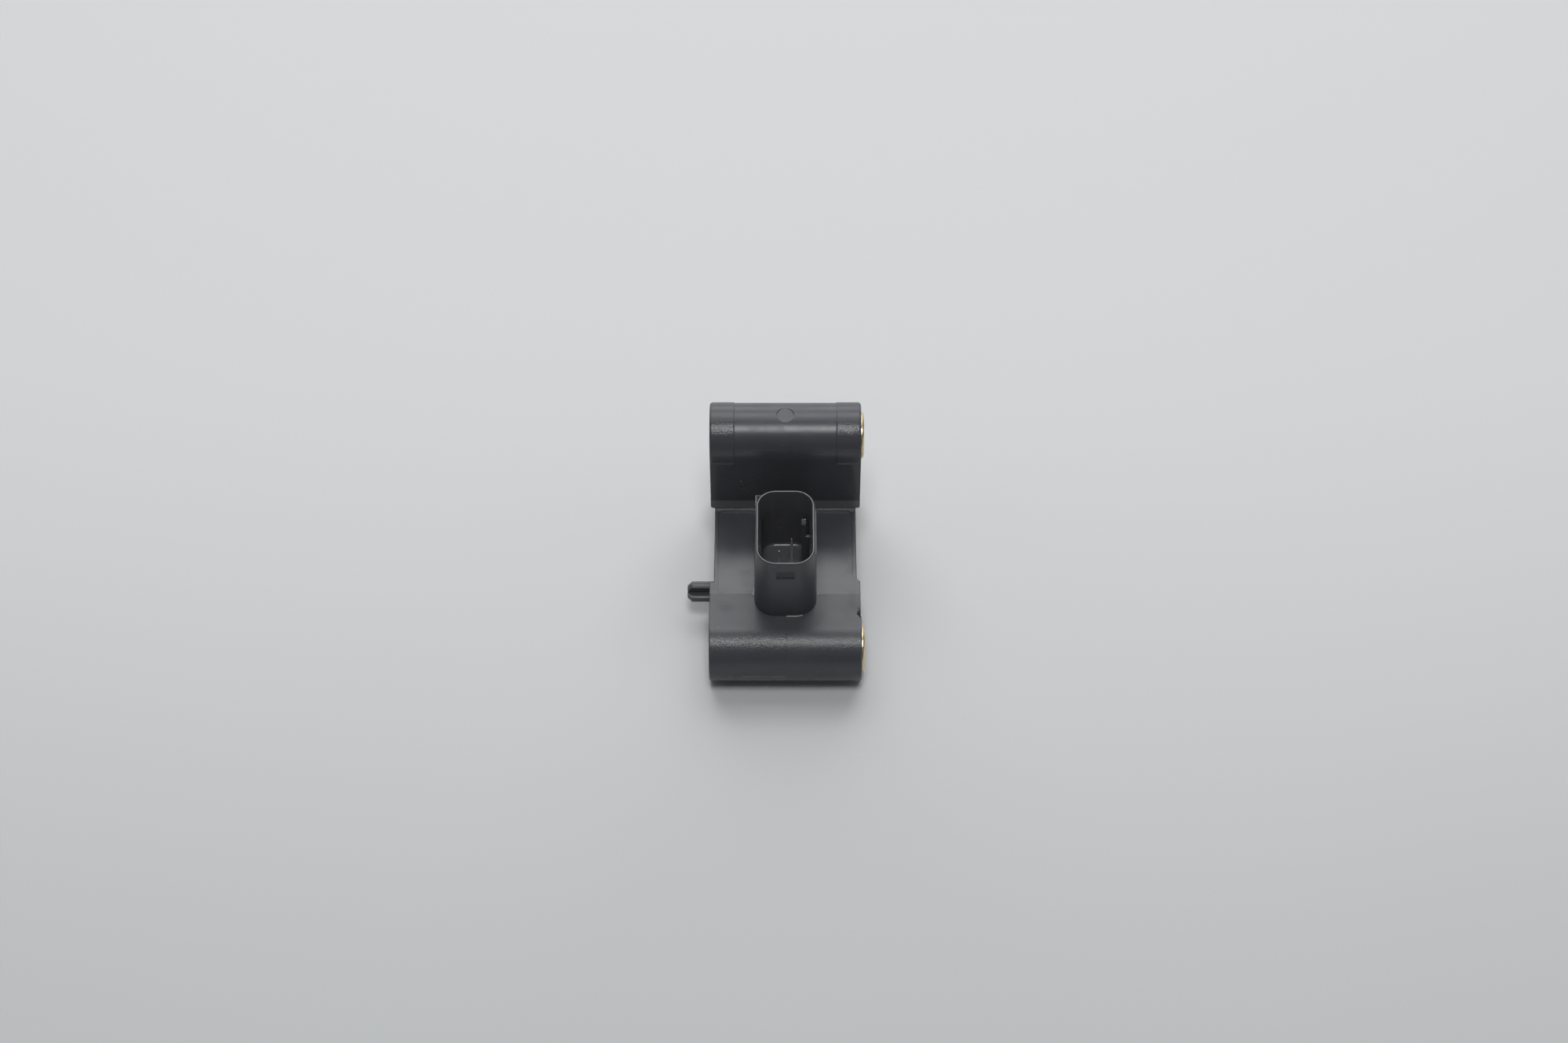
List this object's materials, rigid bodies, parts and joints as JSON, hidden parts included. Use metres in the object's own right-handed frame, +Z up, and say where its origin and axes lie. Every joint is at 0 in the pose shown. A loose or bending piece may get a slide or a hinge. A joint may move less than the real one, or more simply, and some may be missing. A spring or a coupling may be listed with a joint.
{
  "type": "crash sensor",
  "caption": "Dark moulded crash sensor with brass-bushed bolt barrels at different heights, an upright plug socket with terminals, a locating pin and a sealed electronics chamber.",
  "frame": {"origin": "on the lower bolt's axis, in the mounting face", "axes": "+X along the bolts towards their heads, +Y towards the upper bolt, +Z up, the way the plug socket opens"},
  "size_m": [0.038, 0.0539, 0.037],
  "materials": {
    "charcoal_plastic": "satin moulded plastic with fine grain in places",
    "cover_plastic": "satin moulded plastic",
    "brass": "turned brass",
    "tinned_contact": "tin-plated contact",
    "board_laminate": "green solder mask",
    "solder": "bright solder",
    "chip_plastic": "matt moulding compound",
    "capacitor_ceramic": "fired ceramic",
    "resistor_ceramic": "glazed film"
  },
  "bodies": {
    "root": {"housing": "charcoal_plastic", "bottom_cover": "cover_plastic", "lower_bush": "brass", "upper_bush": "brass", "left_terminal": "tinned_contact", "right_terminal": "tinned_contact", "circuit_board": "board_laminate", "solder_joints": "solder", "acceleration_chip": "chip_plastic", "interface_chip": "chip_plastic", "supply_capacitor": "capacitor_ceramic", "filter_capacitors": "capacitor_ceramic", "line_resistors": "resistor_ceramic", "protection_diode": "chip_plastic"}
  },
  "joints": []
}
